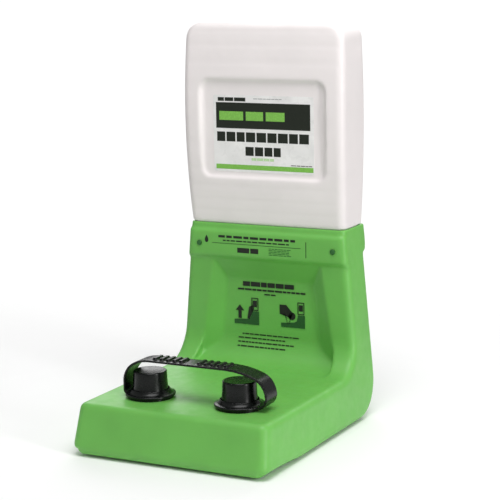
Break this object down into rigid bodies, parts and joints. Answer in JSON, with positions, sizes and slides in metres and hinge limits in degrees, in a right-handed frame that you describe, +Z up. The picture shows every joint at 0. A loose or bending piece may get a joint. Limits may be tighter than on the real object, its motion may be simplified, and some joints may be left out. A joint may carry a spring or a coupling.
{
  "type": "emergency eyewash station",
  "caption": "Gravity-fed eyewash station: L-shaped moulded housing, drop-in saline cartridge above, spray nozzles under rubber caps joined by a pull strap.",
  "frame": {"origin": "on the surface the station stands on, under the middle of its bounding box", "axes": "+Z up, the user stands at -Y facing +Y, +X to the user's right"},
  "size_m": [0.278, 0.355, 0.535],
  "materials": {
    "green_plastic": "satin bright green moulded polyethylene",
    "dark_plastic": "matte dark grey moulded plastic",
    "fitting_plastic": "semi-gloss natural white nylon",
    "spray_plastic": "gloss white",
    "cap_plastic": "gloss blue screw cap",
    "bottle_plastic": "translucent natural white polyethylene, satin",
    "saline": "clear saline",
    "hose": "smooth translucent grey flexible tube",
    "black_rubber": "satin black moulded rubber",
    "steel": "brushed stainless or zinc-plated steel",
    "brass": "knurled brass",
    "green_screw": "dark green screw head",
    "header_print": null,
    "instruction_print": null,
    "bottle_print": null
  },
  "bodies": {
    "station": {"shell": "green_plastic", "base_plate": "steel", "base_screws": "steel", "rubber_feet": "black_rubber", "rear_cover": "dark_plastic", "rear_cover_screws": "steel", "cradle": "dark_plastic", "header_screws": "green_screw", "header_inserts": "brass", "probe": "fitting_plastic", "probe_nut": "fitting_plastic", "probe_seal": "black_rubber", "feed_hose": "hose", "tee_fitting": "fitting_plastic", "branch_hose_left": "hose", "branch_hose_right": "hose", "hose_clamps": "steel", "nozzle_left": "fitting_plastic", "nozzle_right": "fitting_plastic", "nozzle_gaskets": "black_rubber", "nozzle_nuts": "fitting_plastic", "filter_screens": "steel", "spray_inserts": "spray_plastic", "header_label": "header_print", "instruction_label": "instruction_print"},
    "cartridge": {"bottle": "bottle_plastic", "saline_fill": "saline", "vent_tube": "fitting_plastic", "outlet_cap": "cap_plastic", "outlet_seal": "black_rubber", "bottle_label": "bottle_print"},
    "strap_and_caps": {"cap_left": "black_rubber", "cap_right": "black_rubber", "pull_strap": "black_rubber"}
  },
  "joints": [
    {"name": "strap_pull", "type": "slide", "parent": "station", "child": "strap_and_caps", "axis": [0, 0, 1], "range_m": [0, 0.06]},
    {"name": "cartridge_lift", "type": "slide", "parent": "station", "child": "cartridge", "axis": [0, 0, 1], "range_m": [0, 0.08]}
  ]
}
